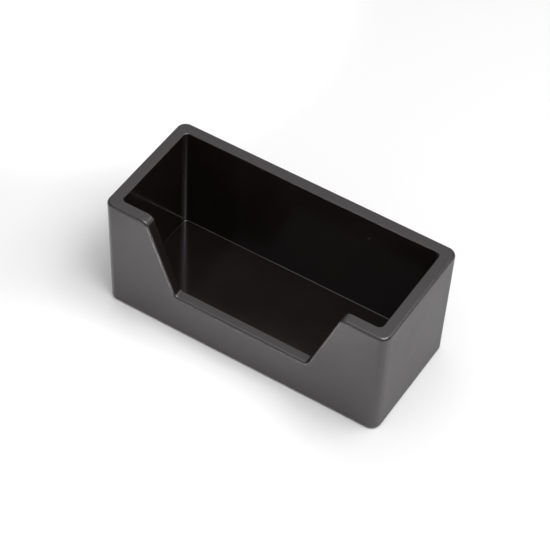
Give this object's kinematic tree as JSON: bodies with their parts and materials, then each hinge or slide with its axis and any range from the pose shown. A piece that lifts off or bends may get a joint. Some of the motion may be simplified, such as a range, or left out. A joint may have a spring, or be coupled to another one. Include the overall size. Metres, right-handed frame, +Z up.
{
  "type": "napkin dispenser",
  "caption": "Thick-walled open-topped tray for folded napkins, with a trapezoid finger cut-out in the front wall and small rubber feet.",
  "frame": {"origin": "on the table, under the middle of the tray's outline", "axes": "+X along the tray's length, -Y out through the front cut-out, +Z up"},
  "size_m": [0.3, 0.131, 0.13],
  "materials": {
    "black_resin": "polished black cast resin with a semi-gloss surface",
    "black_rubber": "matt black moulded rubber"
  },
  "bodies": {
    "root": {"dispenser_body": "black_resin", "foot_front_left": "black_rubber", "foot_front_right": "black_rubber", "foot_rear_left": "black_rubber", "foot_rear_right": "black_rubber"}
  },
  "joints": []
}
